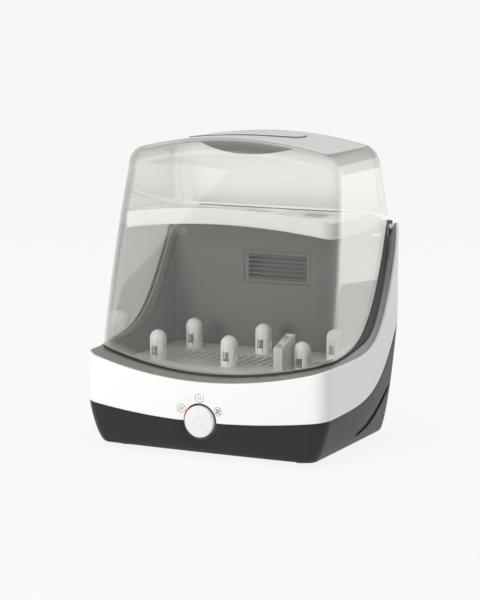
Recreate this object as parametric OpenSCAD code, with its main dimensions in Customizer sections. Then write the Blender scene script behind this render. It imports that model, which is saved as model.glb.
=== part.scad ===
// Steam sterilizer and dryer for a counter top. A base holds the boiler, the
// blower and the dial, a clear hood is hinged on the rear arms of the base, and
// a tray and a rack lift out. Millimetres, +Z up, the front faces -Y.

/* [Base] */
// Width of the base at its white band
base_w = 264; // [260:1:268]
// Depth of the base from the front wall to the rear wall
base_d = 206; // [204:1:210]
// How far the front wall bulges at its middle
base_bow = 6; // [4:0.5:8]
// Radius of the front corners of the base
base_corner_front = 14; // [12:1:18]
// Radius of the rear corners of the base
base_corner_rear = 25; // [22:1:28]
// Thickness of the moulded walls
wall = 2.5; // [2:0.1:2.6]
// Height of the feet under the base
foot_h = 3.5; // [3:0.5:4]
// Radius of the feet
foot_r = 6.5; // [5:0.5:7.5]

/* [Rim] */
// Height of the charcoal and white seam at the middle of the front
seam_z = 36; // [35:0.5:37]
// Height of the rim at the middle of the front
rim_z = 75.5; // [74:0.5:77]
// Height of the tops of the rear arms
arm_z = 220.5; // [218:0.5:222]

/* [Hood] */
// Height of the whole part
total_h = 309.5; // [307:0.5:312]
// Half width of the hood at the foot of its front corners
hood_half_w = 126.6; // [126:0.2:127]
// How far the hood's sides swell at half height
hood_swell = 2.5; // [1:0.5:3]
// Depth of the hood's rear wall behind the middle of the base
hood_rear = 100; // [99:0.5:101]
// Radius of the roof's arch from side to side
roof_r = 417; // [400:1:440]
// Thickness of the hood's walls
hood_wall = 2.5; // [2:0.1:3]
// Half length of the leaf-shaped vent cap in the roof
vent_half_len = 60; // [54:1:62]
// How far the vent cap stands above the roof
vent_proud = 1.2; // [0.8:0.1:1.6]

/* [Inside] */
// Height of the top of the lower rack
rack_z = 80.5; // [80:0.5:82]
// Spacing of the rack's pegs, side to side and front to back
peg_pitch = 80; // [76:1:82]
// Radius of a peg
peg_r = 8.5; // [7:0.5:9]
// Height of a peg
peg_h = 31; // [26:1:34]
// Height of the top of the tray's floor
tray_floor_z = 227; // [226:0.5:228]
// Radius of the six openings in the tray
tray_hole_r = 24; // [18:1:26]

/* [Dial] */
// Radius of the dial knob
knob_r = 16; // [15:0.5:17]
// How far the knob stands out of the front wall
knob_proud = 3; // [2.5:0.5:4]
// Height of the dial's centre
dial_z = 36.5; // [36:0.5:38]

/* [Hidden] */
$fn = 64;

charcoal = [0.2, 0.2, 0.21];
white = [0.96, 0.96, 0.96];
taupe = [0.55, 0.54, 0.51];
dark_grey = [0.4, 0.4, 0.39];
clear_grey = [0.69, 0.69, 0.67, 0.5];
steel = [0.75, 0.75, 0.76];
rubber = [0.3, 0.3, 0.3];
board_green = [0.1, 0.4, 0.25];

half_w = base_w / 2;
rear_y = base_d / 2;
front_y = -base_d / 2 + base_bow;
face_y = -base_d / 2;
bottom_side_in = 17;
bottom_front_in = 12;
bottom_rear_in = 9;
bottom_half_w = half_w - bottom_side_in;
bottom_front_y = face_y + bottom_front_in;
bottom_rear_y = rear_y - bottom_rear_in;
bottom_bow = 1.5;
bottom_corner_front = 10;
bottom_corner_rear = 20;
seam_rear_z = 132;
fit_gap = 0.3;

// The knob stands proud of the front, so the part moves back by half of that
// and its footprint is centred on the origin.
module place() translate([0, knob_proud / 2, 0]) children();

// Plan outlines are counted in points from the front centre, round by the right
// side and back. A plan is [half width, front y, rear y, front radius, rear
// radius, bow].
n_front = 7;
n_corner = 6;
n_side = 16;
n_rear = 5;
n_half = n_front + 2 * n_corner + n_side + n_rear;
n_plan = 2 * n_half;
rear_corner_i = n_front + n_corner + n_side;

function half_point(p, i) =
    let (hw = p[0], yf = p[1], yr = p[2], rf = p[3], rr = p[4],
         a = i - n_front, b = a - n_corner, c = b - n_side, d = c - n_corner,
         fa = 90 * a / n_corner, ra = 90 * c / n_corner)
    a < 0 ? [(hw - rf) * i / n_front, yf]
    : b < 0 ? [hw - rf + rf * sin(fa), yf + rf - rf * cos(fa)]
    : c < 0 ? [hw, yf + rf + (yr - rr - yf - rf) * b / n_side]
    : d < 0 ? [hw - rr + rr * cos(ra), yr - rr + rr * sin(ra)]
    : [(hw - rr) * (1 - d / n_rear), yr];
function bowed(p, q) =
    [q[0], q[1] - p[5] * (1 - pow(q[0] / p[0], 2)) * max(0, min(1, q[1] / p[1]))];
function plan_point(p, i) =
    let (j = i % n_plan, q = bowed(p, half_point(p, min(j, n_plan - j))))
    j <= n_half ? q : [-q[0], q[1]];
function outline(p) = [for (i = [0:n_plan - 1]) plan_point(p, i)];
function inset(p, d) =
    [p[0] - d, p[1] + d, p[2] - d, max(p[3] - d, 4), max(p[4] - d, 4), p[5]];
function mix(a, b, t) = a + (b - a) * t;
function at_z(q, z) = [q[0], q[1], z];

// A sheet with two faces, from two grids of [ring][point]. The list keep says
// which cells of the grid are there, and every open edge gets a wall.
function cell(keep, k, i) = k >= 0 && k < len(keep) && keep[k][(i + n_plan) % n_plan];
function two_faces(a, b, c, d) = [[a, b, c], [a, c, d]];
module sheet(outer, inner, keep) {
    rings = len(outer);
    back = rings * n_plan;
    points = concat([for (r = outer) each r], [for (r = inner) each r]);
    faces = [
        for (k = [0:rings - 2], i = [0:n_plan - 1]) if (keep[k][i])
            let (j = (i + 1) % n_plan, a = k * n_plan + i, b = k * n_plan + j,
                 c = a + n_plan, d = b + n_plan)
            each concat(
                two_faces(a, c, d, b),
                two_faces(back + a, back + b, back + d, back + c),
                cell(keep, k - 1, i) ? [] : two_faces(a, b, back + b, back + a),
                cell(keep, k + 1, i) ? [] : two_faces(d, c, back + c, back + d),
                cell(keep, k, i - 1) ? [] : two_faces(c, a, back + a, back + c),
                cell(keep, k, i + 1) ? [] : two_faces(b, d, back + d, back + b))
    ];
    polyhedron(points, faces, convexity = 10);
}
function whole(rings) = [for (k = [0:rings - 2]) [for (i = [0:n_plan - 1]) true]];
module shell(outer, inner) sheet(outer, inner, whole(len(outer)));

// A level line that turns up into a steady slope
function ramp(y, start, slope, soft) = slope * soft * ln(1 + exp((y - start) / soft));

// Edges of the base and the hood, as heights over the plan. Each rises to the
// sides and sweeps up to the rear: [rise to the sides, start of the sweep, slope,
// softness].
seam_sweep = [0.00058, 52, 2, 24];
rim_sweep = [0.00114, 51, 3, 17];
hood_sweep = [0.00115, 25, 2.25, 23];
hood_over_rim = 5;
hood_over_arm = 5;
arm_round = 0.052;
arm_round_y = 84;
function swept(z, c, q) = z + c[0] * q[0] * q[0] + ramp(q[1], c[1], c[2], c[3]);
function seam_edge(q) = min(swept(seam_z, seam_sweep, q), seam_rear_z);
function arm_top(y) = arm_z - arm_round * pow(max(0, y - arm_round_y), 2);
function rim_edge(q) = min(swept(rim_z, rim_sweep, q), arm_top(q[1]));
function hood_edge(q) = min(swept(rim_z + hood_over_rim, hood_sweep, q), arm_z + hood_over_arm);

base_plan = [half_w, front_y, rear_y, base_corner_front, base_corner_rear, base_bow];

// The lower shell is drawn in below the seam: t is 0 at the bottom, 1 at the seam
function bilge(t) = 1 - sqrt(1 - pow(1 - t, 2));
function taper(t) = (1 - t + bilge(t)) / 2;
function lower_plan(t) = [
    mix(half_w, bottom_half_w, taper(t)), mix(front_y, bottom_front_y, bilge(t)),
    mix(rear_y, bottom_rear_y, taper(t)), mix(base_corner_front, bottom_corner_front, taper(t)),
    mix(base_corner_rear, bottom_corner_rear, taper(t)), mix(base_bow, bottom_bow, bilge(t))
];
function lower_ring(t, d) = [
    for (i = [0:n_plan - 1])
        let (z = seam_edge(plan_point(base_plan, i)))
        at_z(plan_point(inset(lower_plan(t), d), i), mix(foot_h, z, t))
];

// Crescent recess in each side of the lower shell, drawn in Y and Z
vent_steps = 12;
crescent_start = [-2, 17.5];
crescent_run = [79, 10];
crescent_lift = 26;
crescent_half_w = 7.5;
crescent_blunt = 0.55;
crescent_taper = 0.45;
crescent_tip = 0.3;
function crescent_mid(u) = crescent_start + u * crescent_run + [0, crescent_lift * u * u];
function crescent_half(u) =
    crescent_half_w * min(1, crescent_blunt + 1.1 * u) * pow(1 - u, crescent_taper) + crescent_tip;
function crescent(grow) = concat(
    [for (s = [0:vent_steps]) let (u = s / vent_steps)
        crescent_mid(u) - [0, crescent_half(u) + grow]],
    [for (s = [vent_steps:-1:0]) let (u = s / vent_steps)
        crescent_mid(u) + [0, crescent_half(u) + grow]]);
// Stands a drawing in Y and Z up, and gives it a thickness along X
module along_x(x, thick) translate([x, 0, 0]) rotate([90, 0, 90]) linear_extrude(thick) children();
// Points a solid drawn along Z to the front, with its foot at y
module to_front(x, y, z) translate([x, y, z]) rotate([90, 0, 0]) children();
// The same, but pointing to the rear
module to_rear(x, y, z) translate([x, y, z]) rotate([-90, 0, 0]) children();
module both_sides() {
    children();
    mirror([1, 0, 0]) children();
}

bezel_r = knob_r + 3.2;
dial_hole_r = bezel_r + 0.2;
filter_half_w = 36;
filter_low_z = 66;
filter_high_z = 122;
rear_lean = 4.1;
inlet_x = 84;
inlet_z = 32;
inlet_w = 24;
inlet_h = 16;

shell_levels = [0, 0.05, 0.18, 0.42, 0.72, 1];
module lower_shell() color(charcoal) difference() {
    shell([for (t = shell_levels) lower_ring(t, 0)], [for (t = shell_levels) lower_ring(t, wall)]);
    to_front(0, face_y + 20, dial_z) cylinder(r = dial_hole_r, h = 30);
    both_sides() along_x(half_w - 30, 40) polygon(crescent(0));
    translate([-filter_half_w, rear_y - 25, filter_low_z])
        cube([2 * filter_half_w, 40, filter_high_z - filter_low_z]);
    translate([inlet_x - inlet_w / 2, rear_y - 30, inlet_z - inlet_h / 2])
        cube([inlet_w, 40, inlet_h]);
}

edge_drop = 2;
edge_in = 1.2;
function band_ring(t, d, drop) = [
    for (i = [0:n_plan - 1])
        let (q = plan_point(base_plan, i))
        at_z(plan_point(inset(base_plan, d), i), mix(seam_edge(q), rim_edge(q) - drop, t))
];
module base_band() color(white) difference() {
    shell([band_ring(0, 0, 0), band_ring(0.5, 0, 0), band_ring(1, 0, edge_drop), band_ring(1, edge_in, 0)],
          [for (e = [[0, 0], [0.5, 0], [1, edge_drop], [1, 0]]) band_ring(e[0], wall, e[1])]);
    to_front(0, face_y + 20, dial_z) cylinder(r = dial_hole_r, h = 30);
}

// The hood's plan at a height. Its front leans back, its sides lean in with a
// slight swell, and its rear wall leans forward above the arms.
hood_foot_z = 100.5;
hood_lean_h = 192;
hood_front_y = -76;
front_lean = 34.7;
side_lean = 11.3;
rear_lean_rate = 0.207;
hood_corner_low = 14;
hood_corner_grow = 8;
hood_corner_rear = 25;
hood_bow = 7;
function hood_plan(z) =
    let (t = (z - hood_foot_z) / hood_lean_h)
    [hood_half_w - side_lean * t + 4 * hood_swell * t * (1 - t), hood_front_y + front_lean * t,
     hood_rear - rear_lean_rate * max(0, z - arm_z), hood_corner_low + hood_corner_grow * t,
     hood_corner_rear, hood_bow];
roof_z = total_h - vent_proud;
function roof(x) = roof_z - roof_r + sqrt(roof_r * roof_r - x * x);

// The rim and the liner use the hood's plan, with the chamber's own rear wall
chamber_rear = 84;
chamber_corner = 15;
shelf_z = 193.5;
function chamber_plan(z) = let (p = hood_plan(z)) [p[0], p[1], chamber_rear, p[3], chamber_corner, p[5]];
// The seal is a thin line at the front and grows into a wide skirt along the sides,
// which fades out before the rear wall
seal_front_h = 1.2;
seal_grow = 26;
seal_grow_y = 14;
seal_grow_soft = 13;
seal_gap = 0.9;
seal_room = 1.06;
seal_fade_y = 84;
seal_fade_len = 4;
function seal_fade(y) = max(0, min(1, (seal_fade_y - y) / seal_fade_len));
function seal_h(y) =
    seal_front_h + seal_grow * seal_fade(y) / (1 + exp((seal_grow_y - y) / seal_grow_soft));
function ledge_z(q) = min(hood_edge(q) - seal_room * seal_h(q[1]) - seal_gap, shelf_z);
// Height of the ledge at one plan point, found in two steps because the plan leans
function ledge_at(i) =
    let (z1 = ledge_z(plan_point(chamber_plan(hood_foot_z), i)))
    ledge_z(plan_point(chamber_plan(z1), i));
function ledge_ring(d, drop) = [
    for (i = [0:n_plan - 1])
        let (z = ledge_at(i)) at_z(plan_point(inset(chamber_plan(z), d), i), z - drop)
];

// The rim runs down from the band to a level landing under the seal, and stands up
// inside the hood's foot as a lip that hides the seal
ledge_in = 3.4;
rim_thick = 1.8;
rim_land = 1;
lip_over = 1;
lip_high = 8;
hinge_y = 93;
hinge_z = 213.5;
bracket_x = 111;
bracket_w = 8;
rim_start = wall + 0.1;
rim_drop = 0.2;
function rim_z_at(i) = rim_edge(plan_point(base_plan, i)) - rim_drop;
// Sine and cosine of the slope from the band to the landing
function rim_slope(i) =
    let (s = at_z(plan_point(inset(base_plan, rim_start), i), rim_z_at(i)),
         z = ledge_at(i),
         d = s - at_z(plan_point(inset(chamber_plan(z), -rim_land), i), z))
    [d[2] / norm(d), norm([d[0], d[1]]) / norm(d)];
function rim_start_ring(front, under) = [
    for (i = [0:n_plan - 1])
        let (a = rim_slope(i), d = rim_start + front * max(0, a[0]) + under * max(0, -a[0]))
        at_z(plan_point(inset(base_plan, d), i), rim_z_at(i) - under * a[1])
];
function landing_ring(thick) = [
    for (i = [0:n_plan - 1])
        let (a = rim_slope(i), z = ledge_at(i))
        at_z(plan_point(inset(chamber_plan(z), -rim_land - thick * a[0] / (1 + a[1])), i), z - thick)
];
function lip_at(i) =
    let (z = ledge_at(i))
    min(hood_edge(plan_point(chamber_plan(z), i)) + lip_over, shelf_z + lip_high);
function lip_ring(d) = [
    for (i = [0:n_plan - 1])
        let (z = lip_at(i)) at_z(plan_point(inset(chamber_plan(z), d), i), z)
];
module rim_trim() color(taupe) difference() {
    shell([rim_start_ring(rim_thick, 0), landing_ring(0), ledge_ring(ledge_in, 0), lip_ring(ledge_in)],
          [rim_start_ring(0, rim_thick), landing_ring(rim_thick),
           ledge_ring(ledge_in + rim_thick, rim_thick), lip_ring(ledge_in + rim_thick)]);
    both_sides() translate([bracket_x - 2.5, hinge_y - 6, shelf_z - 30])
        cube([bracket_w + 3, 11, 60]);
}

liner_in = ledge_in + rim_thick + 0.4;
liner_draft = 1;
floor_round = 6;
floor_round_h = 12;
well_drop = 1;
floor_z = 53;
plate_bottom_z = floor_z - well_drop - wall;
well_r = 64;
grille_half_w = 38;
grille_low_z = 148;
grille_high_z = 182;
function round_point(r, i) = [r * sin(180 * i / n_half), -r * cos(180 * i / n_half)];
function level_ring(d, z) = [
    for (i = [0:n_plan - 1]) at_z(plan_point(inset(chamber_plan(hood_foot_z), d), i), z)
];
function well_ring(z) = [for (i = [0:n_plan - 1]) at_z(round_point(well_r, i), z)];
// The liner's rear wall goes on up behind the tray as a panel that the tray hooks on
panel_half = 106;
panel_lap = 6;
panel_thick = wall - 0.2;
panel_top_z = tray_floor_z - 1;
panel_y = chamber_rear - liner_in - wall + 0.1;
module chamber_liner() color(dark_grey) difference() {
    union() {
        shell([ledge_ring(liner_in + wall, rim_thick),
               level_ring(liner_in + wall + liner_draft, floor_z + floor_round_h),
               level_ring(liner_in + wall + floor_round, floor_z), well_ring(floor_z - well_drop)],
              [ledge_ring(liner_in, rim_thick),
               level_ring(liner_in + liner_draft, floor_z + floor_round_h),
               level_ring(liner_in + floor_round, floor_z - wall), well_ring(plate_bottom_z)]);
        translate([-panel_half, panel_y, shelf_z - panel_lap])
            cube([2 * panel_half, panel_thick, panel_top_z - shelf_z + panel_lap]);
    }
    translate([-grille_half_w, chamber_rear - 20, grille_low_z])
        cube([2 * grille_half_w, 30, grille_high_z - grille_low_z]);
}

plate_in = wall + 0.4;
plate_thick = 2.5;
foot_x = 96;
foot_front_y = -74;
foot_rear_y = 76;
screw_x = 86;
screw_front_y = -56;
screw_rear_y = 56;
stem_r = 2.5;
screw_r = 2;
module at_feet() for (x = [-foot_x, foot_x], y = [foot_front_y, foot_rear_y])
    translate([x, y, 0]) children();
module at_screws() for (x = [-screw_x, screw_x], y = [screw_front_y, screw_rear_y])
    translate([x, y, 0]) children();

module base_plate() color(charcoal) difference() {
    translate([0, 0, foot_h]) linear_extrude(plate_thick)
        polygon(outline(inset(lower_plan(0), plate_in)));
    at_feet() cylinder(r = stem_r, h = 20);
    at_screws() {
        cylinder(r = screw_r, h = 20);
        cylinder(r = 4, h = foot_h + 1.2);
    }
}

module rubber_feet() color(rubber) at_feet() {
    cylinder(r1 = foot_r - 0.8, r2 = foot_r, h = 1);
    translate([0, 0, 1]) cylinder(r = foot_r, h = foot_h - 1);
    cylinder(r = stem_r, h = foot_h + plate_thick);
}

screw_len = 16;
module base_screws() color(steel) at_screws() translate([0, 0, foot_h]) difference() {
    union() {
        cylinder(r = 3.8, h = 1.2);
        cylinder(r = screw_r, h = screw_len);
    }
    for (a = [0, 90]) rotate([0, 0, a]) translate([-2, -0.4, -1]) cube([4, 0.8, 1.6]);
}

module standoffs() color(dark_grey) at_screws() translate([0, 0, foot_h + plate_thick]) difference() {
    cylinder(r = 5, h = plate_bottom_z - foot_h - plate_thick - 0.1);
    translate([0, 0, -1]) cylinder(r = screw_r, h = screw_len + 2);
}

seal_thick = 1.5;
module heating_plate() color(steel) rotate_extrude() polygon([
    [0, plate_bottom_z], [60, plate_bottom_z], [61, plate_bottom_z - seal_thick - 1.5],
    [72, plate_bottom_z - seal_thick - 1.5], [72, plate_bottom_z - seal_thick],
    [62.6, plate_bottom_z - seal_thick], [61.4, plate_bottom_z + 1.5], [0, plate_bottom_z + 1.5]
]);

module plate_seal() color(rubber) translate([0, 0, plate_bottom_z - seal_thick]) difference() {
    cylinder(r = 70, h = seal_thick);
    translate([0, 0, -1]) cylinder(r = well_r + 0.2, h = seal_thick + 2);
}

element_r = 42;
tube_r = 3.5;
module heating_element() color(steel) {
    translate([0, 0, plate_bottom_z - tube_r]) rotate_extrude() translate([element_r, 0]) circle(tube_r);
    for (x = [-9, 9]) translate([x, -sqrt(element_r * element_r - x * x), plate_bottom_z - 16])
        cylinder(r = 2, h = 12);
}

module thermostat() color(rubber) translate([0, 0, plate_bottom_z]) {
    translate([0, 0, -8]) cylinder(r = 9, h = 8);
    for (x = [-5, 5]) translate([x - 3, -0.4, -15]) cube([6, 0.8, 8]);
}

// Dial: the knob stands in a well that a bezel and a light sleeve line
bezel_deep = 12.5;
bezel_front = 1.9;
bezel_y = face_y + bezel_deep;
bezel_back = 2;
sleeve_r = knob_r + 2.2;
sleeve_bore_r = knob_r + 1;
sleeve_front = 2;
module dial_bezel() color(charcoal) to_front(0, bezel_y, dial_z) difference() {
    cylinder(r = bezel_r, h = bezel_deep - bezel_front);
    translate([0, 0, bezel_back]) cylinder(r = sleeve_r, h = bezel_deep);
    translate([0, 0, -1]) cylinder(r = bush_r + 0.1, h = bezel_deep);
}

module light_ring() color([0.85, 0.3, 0.28]) to_front(0, bezel_y - bezel_back, dial_z) difference() {
    cylinder(r = sleeve_r, h = bezel_deep - bezel_back - sleeve_front);
    translate([0, 0, -1]) cylinder(r = sleeve_bore_r, h = bezel_deep);
}

shaft_r = 3;
bush_r = 5.5;
board_y = bezel_y + 13;
press_travel = 1.5;
run_gap = 0.05;
module encoder_body() color(steel) difference() {
    union() {
        to_front(0, board_y, dial_z) translate([-7, -7, 0]) cube([14, 14, 6]);
        to_front(0, board_y - 6, dial_z) cylinder(r = bush_r, h = 8);
    }
    to_front(0, board_y - 1, dial_z) cylinder(r = shaft_r + 1.5 + run_gap, h = 20);
}

stem_y = board_y - 1 - press_travel - fit_gap;
module press_collar() color(dark_grey) to_front(0, stem_y, dial_z) difference() {
    cylinder(r = shaft_r + 1.5, h = 9);
    translate([0, 0, -1]) cylinder(r = shaft_r + run_gap, h = 20);
}

knob_back_y = face_y + 6.5;
socket_deep = 6;
module encoder_shaft() color(steel) to_front(0, stem_y, dial_z)
    cylinder(r = shaft_r, h = stem_y - knob_back_y + socket_deep - 0.2);

knob_len = knob_back_y - face_y + knob_proud;
knob_round = 2.2;
knob_flat_r = knob_r - knob_round;
knob_crown = 1.2;
module dial_knob() color(white) to_front(0, knob_back_y, dial_z) rotate_extrude() polygon(concat(
    [[shaft_r, 0], [knob_r, 0]],
    [for (a = [0:15:75]) [knob_flat_r + knob_round * cos(a),
                          knob_len - knob_crown - knob_round * (1 - sin(a))]],
    [for (s = [0:4]) let (f = 1 - s / 4) [knob_flat_r * f, knob_len - knob_crown * f * f]],
    [[0, socket_deep], [shaft_r, socket_deep]]));

board_thick = 1.6;
module control_board() color(board_green) difference() {
    translate([-34, board_y, dial_z - 14]) cube([68, board_thick, 24]);
    for (x = [-29, 29]) to_rear(x, board_y - 1, dial_z - 2) cylinder(r = 1.6, h = 5);
}

module power_board() color(board_green) translate([-76, 14, foot_h + plate_thick]) {
    translate([0, 0, 6]) cube([66, 56, board_thick]);
    for (x = [5, 61], y = [5, 51]) translate([x, y, 0]) cylinder(r = 3, h = 6.5);
    translate([8, 12, 7]) cube([24, 20, 17]);
    translate([40, 14, 7]) cube([16, 16, 13]);
    for (y = [40, 49]) translate([18, y, 7]) cylinder(r = 4, h = 14);
}

inlet_face_y = rear_y - 6;
module power_inlet() color(rubber) difference() {
    union() {
        translate([inlet_x - inlet_w / 2 + 0.3, inlet_face_y - 20, inlet_z - inlet_h / 2 + 0.3])
            cube([inlet_w - 0.6, 21, inlet_h - 0.6]);
        translate([inlet_x - inlet_w / 2 - 2, inlet_face_y - 5.5, inlet_z - inlet_h / 2 - 2])
            cube([inlet_w + 4, 2, inlet_h + 4]);
    }
    translate([inlet_x, inlet_face_y + 5, inlet_z]) rotate([90, 0, 0]) linear_extrude(19) union() {
        for (x = [-4.2, 4.2]) translate([x, 0]) circle(4.2);
        translate([-4.2, -4.2]) square([8.4, 8.4]);
    }
}

// Blower in the rear wall: it draws through the filter and blows up into the duct
fan_z = 94;
fan_front_y = 79;
fan_deep = 15;
fan_case_r = 36;
outlet_x = 8;
duct_low_z = 138;
duct_high_z = 187;
duct_half_w = 42;
skin = 1.5;
module volute(d) {
    circle(fan_case_r - d);
    translate([outlet_x + d, 0]) square([fan_case_r - outlet_x - 2 * d, duct_low_z - fan_z + d]);
}
module fan_housing() color(dark_grey) difference() {
    to_front(0, fan_front_y + fan_deep, fan_z) linear_extrude(fan_deep) volute(0);
    to_front(0, fan_front_y + fan_deep - skin, fan_z) linear_extrude(fan_deep - 2 * skin) volute(skin);
    to_rear(0, fan_front_y + fan_deep - 5, fan_z) cylinder(r = 20, h = 10);
}

fan_shaft_r = 1.5;
motor_len = 5;
module fan_motor() color(steel) to_rear(0, fan_front_y + skin, fan_z) difference() {
    cylinder(r = 10, h = motor_len);
    translate([0, 0, 1]) cylinder(r = fan_shaft_r + run_gap, h = 20);
}

shaft_start = skin + 1.4;
module fan_shaft() color(steel) to_rear(0, fan_front_y + shaft_start, fan_z)
    cylinder(r = fan_shaft_r, h = 9);

blades = 24;
impeller_r = 29;
module fan_impeller() color(rubber) to_rear(0, fan_front_y + skin + motor_len + 0.5, fan_z) difference() {
    union() {
        cylinder(r = impeller_r, h = 1.2);
        cylinder(r = 5, h = 5);
        for (b = [0:blades - 1]) rotate([0, 0, b * 360 / blades])
            translate([20, 0, 0]) rotate([0, 0, 35]) translate([0, -0.5, 0.6]) cube([9, 1, 5]);
    }
    translate([0, 0, -1]) cylinder(r = fan_shaft_r, h = 10);
}

module air_duct() color(dark_grey) difference() {
    translate([-duct_half_w, fan_front_y, duct_low_z])
        cube([2 * duct_half_w, fan_deep, duct_high_z - duct_low_z]);
    translate([-duct_half_w + skin, fan_front_y + skin, duct_low_z + skin])
        cube([2 * duct_half_w - 2 * skin, fan_deep - 2 * skin, duct_high_z - duct_low_z - 2 * skin]);
    translate([outlet_x + skin, fan_front_y + skin, duct_low_z - 1])
        cube([fan_case_r - outlet_x - 2 * skin, fan_deep - 2 * skin, 5]);
    translate([-grille_half_w + 3, fan_front_y - 1, grille_low_z + 3])
        cube([2 * grille_half_w - 6, 5, grille_high_z - grille_low_z - 6]);
}

module air_heater() color(steel) translate([-26, fan_front_y + skin + 1, duct_low_z + skin]) difference() {
    cube([52, fan_deep - 2 * skin - 2, 9]);
    for (n = [0:11]) translate([3 + 4 * n, -1, 2]) cube([2, 20, 5]);
}

module air_grille() color(dark_grey) difference() {
    translate([-grille_half_w + 0.2, chamber_rear - liner_in - wall + 0.3, grille_low_z + 0.2])
        cube([2 * grille_half_w - 0.4, fan_front_y - chamber_rear + liner_in + wall - 0.3,
              grille_high_z - grille_low_z - 0.4]);
    for (n = [0:5]) translate([-grille_half_w + 5, chamber_rear - 20, grille_low_z + 4 + 4.6 * n])
        cube([2 * grille_half_w - 10, 30, 2.6]);
}

// Inserts that close the crescents a little way in from the shell's face
vent_recess = 1.6;
vent_thick = 1.6;
module side_vents() color(rubber) intersection() {
    both_sides() along_x(half_w - 30, 40) polygon(crescent(-0.15));
    shell([for (t = shell_levels) lower_ring(t, vent_recess)],
          [for (t = shell_levels) lower_ring(t, vent_recess + vent_thick)]);
}

// Cover and pad lean with the rear wall, and pull straight out to the rear
module at_filter(deep) translate([0, rear_y - 2.2, (filter_low_z + filter_high_z) / 2])
    rotate([90 - rear_lean, 0, 0]) translate([0, 0, deep]) children();
filter_half_h = (filter_high_z - filter_low_z) / 2 - 0.6;
module filter_cover() color(charcoal) at_filter(0) difference() {
    translate([-filter_half_w + 0.5, -filter_half_h, 0])
        cube([2 * filter_half_w - 1, 2 * filter_half_h, 2.2]);
    for (n = [-4:4]) translate([-26, 5 * n - 1.3, -1]) cube([52, 2.6, 5]);
}

module air_filter() color(white) at_filter(2.2) translate([-29, -24, 0]) cube([58, 48, 1.4]);

// Hinge: brackets and pins belong to the base, bushes and barrel to the hood
hinge_pin_r = 2.5;
hinge_bush_r = 4;
barrel_r = 9;
barrel_half = 108;
bush_len = 14;
// Each bracket carries a cap that closes the top of its arm beside the hood's foot
arm_cap_gap = 0.6;
arm_cap_in = 6;
arm_cap_low = 0.4;
arm_cap_thick = 1.6;
arm_cap_end = 97;
boss_x = bracket_x - 2;
module arm_cap() intersection() {
    linear_extrude(total_h) difference() {
        polygon(outline(inset(base_plan, arm_cap_in)));
        polygon(outline(inset(hood_plan(arm_z + hood_over_arm), -arm_cap_gap)));
    }
    along_x(boss_x, half_w - boss_x) polygon(concat(
        [for (y = [arm_round_y:1:arm_cap_end]) [y, arm_top(y) - arm_cap_low]],
        [for (y = [arm_cap_end:-1:arm_round_y]) [y, arm_top(y) - arm_cap_low - arm_cap_thick]]));
}
module hinge_brackets() color(taupe) both_sides() difference() {
    union() {
        arm_cap();
        intersection() {
            translate([bracket_x, hinge_y - 5, shelf_z - 36]) cube([bracket_w, 20, hinge_z - shelf_z + 36]);
            linear_extrude(total_h) polygon(outline(inset(base_plan, wall)));
            translate([0, hinge_y - 5, 0]) cube([half_w, 10, total_h]);
        }
        translate([boss_x, hinge_y, hinge_z]) rotate([0, 90, 0]) cylinder(r = 6, h = bracket_w + 2);
    }
    translate([bracket_x - 5, hinge_y, hinge_z]) rotate([0, 90, 0]) cylinder(r = hinge_pin_r, h = 30);
}

module hinge_pins() color(steel) both_sides()
    translate([barrel_half - bush_len + 1, hinge_y, hinge_z]) rotate([0, 90, 0])
        cylinder(r = hinge_pin_r, h = bracket_x + bracket_w - barrel_half + bush_len - 1);

module hinge_bushes() color(dark_grey) both_sides()
    translate([barrel_half - bush_len, hinge_y, hinge_z]) rotate([0, 90, 0]) difference() {
        cylinder(r = hinge_bush_r, h = bush_len);
        translate([0, 0, 0.5]) cylinder(r = hinge_pin_r + run_gap, h = 30);
    }

// Hood grid: wall rings, then the rounded shoulder, then the roof to the vent lens
wall_rings = 4;
shoulder_rings = 4;
shoulder_in = 13;
shoulder_down = 20;
roof_seam_in = 15;
// The vent's leaf outline is pointed at the left and blunt at the right
vent_mid = [-12, 26];
vent_half_d = 27;
vent_skew = 0.17;
function leaf_point(s, i) =
    let (a = 180 * i / n_half, x = (vent_half_len - s) * sin(a),
         w = pow(abs(cos(a)), sin(a) < 0 ? 2 : 0.6))
    vent_mid + [x, vent_skew * x - (vent_half_d - s) * w * sign(cos(a))];
function shoulder_z(i) = roof(plan_point(hood_plan(roof_z - shoulder_down), i)[0]) - shoulder_down;
function hood_foot(i) =
    let (z1 = hood_edge(plan_point(hood_plan(hood_foot_z), i)))
    hood_edge(plan_point(hood_plan(z1), i));
function wall_ring(s, d) = [
    for (i = [0:n_plan - 1])
        let (z = mix(hood_foot(i), shoulder_z(i), s))
        at_z(plan_point(inset(hood_plan(z), d), i), z)
];
function shoulder_ring(a, d) = [
    for (i = [0:n_plan - 1])
        let (q = plan_point(inset(hood_plan(shoulder_z(i)), d + (shoulder_in - d) * (1 - cos(a))), i))
        at_z(q, roof(q[0]) - d - (shoulder_down - d) * (1 - sin(a)))
];
function roof_seam_point(i) = plan_point(inset(hood_plan(shoulder_z(i)), roof_seam_in), i);
function roof_ring(s, d) = [
    for (i = [0:n_plan - 1])
        let (q = mix(roof_seam_point(i), leaf_point(0, i), s)) at_z(q, roof(q[0]) - d)
];
function hood_grid(d) = concat(
    [for (k = [0:wall_rings - 1]) wall_ring(k / (wall_rings - 1), d)],
    [for (k = [1:shoulder_rings]) shoulder_ring(90 * k / shoulder_rings, d)],
    [for (s = [0, 0.5, 1]) roof_ring(s, d)]);
clear_rows = wall_rings + shoulder_rings;
clear_end_i = rear_corner_i - 1;
function in_front(i, end) = i < end || i >= n_plan - end;
function hood_cells(clear) = [
    for (k = [0:clear_rows + 1])
        [for (i = [0:n_plan - 1]) (k < clear_rows && in_front(i, clear_end_i)) == clear]
];

module hood_shell() color(clear_grey) sheet(hood_grid(0), hood_grid(hood_wall), hood_cells(true));

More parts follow.
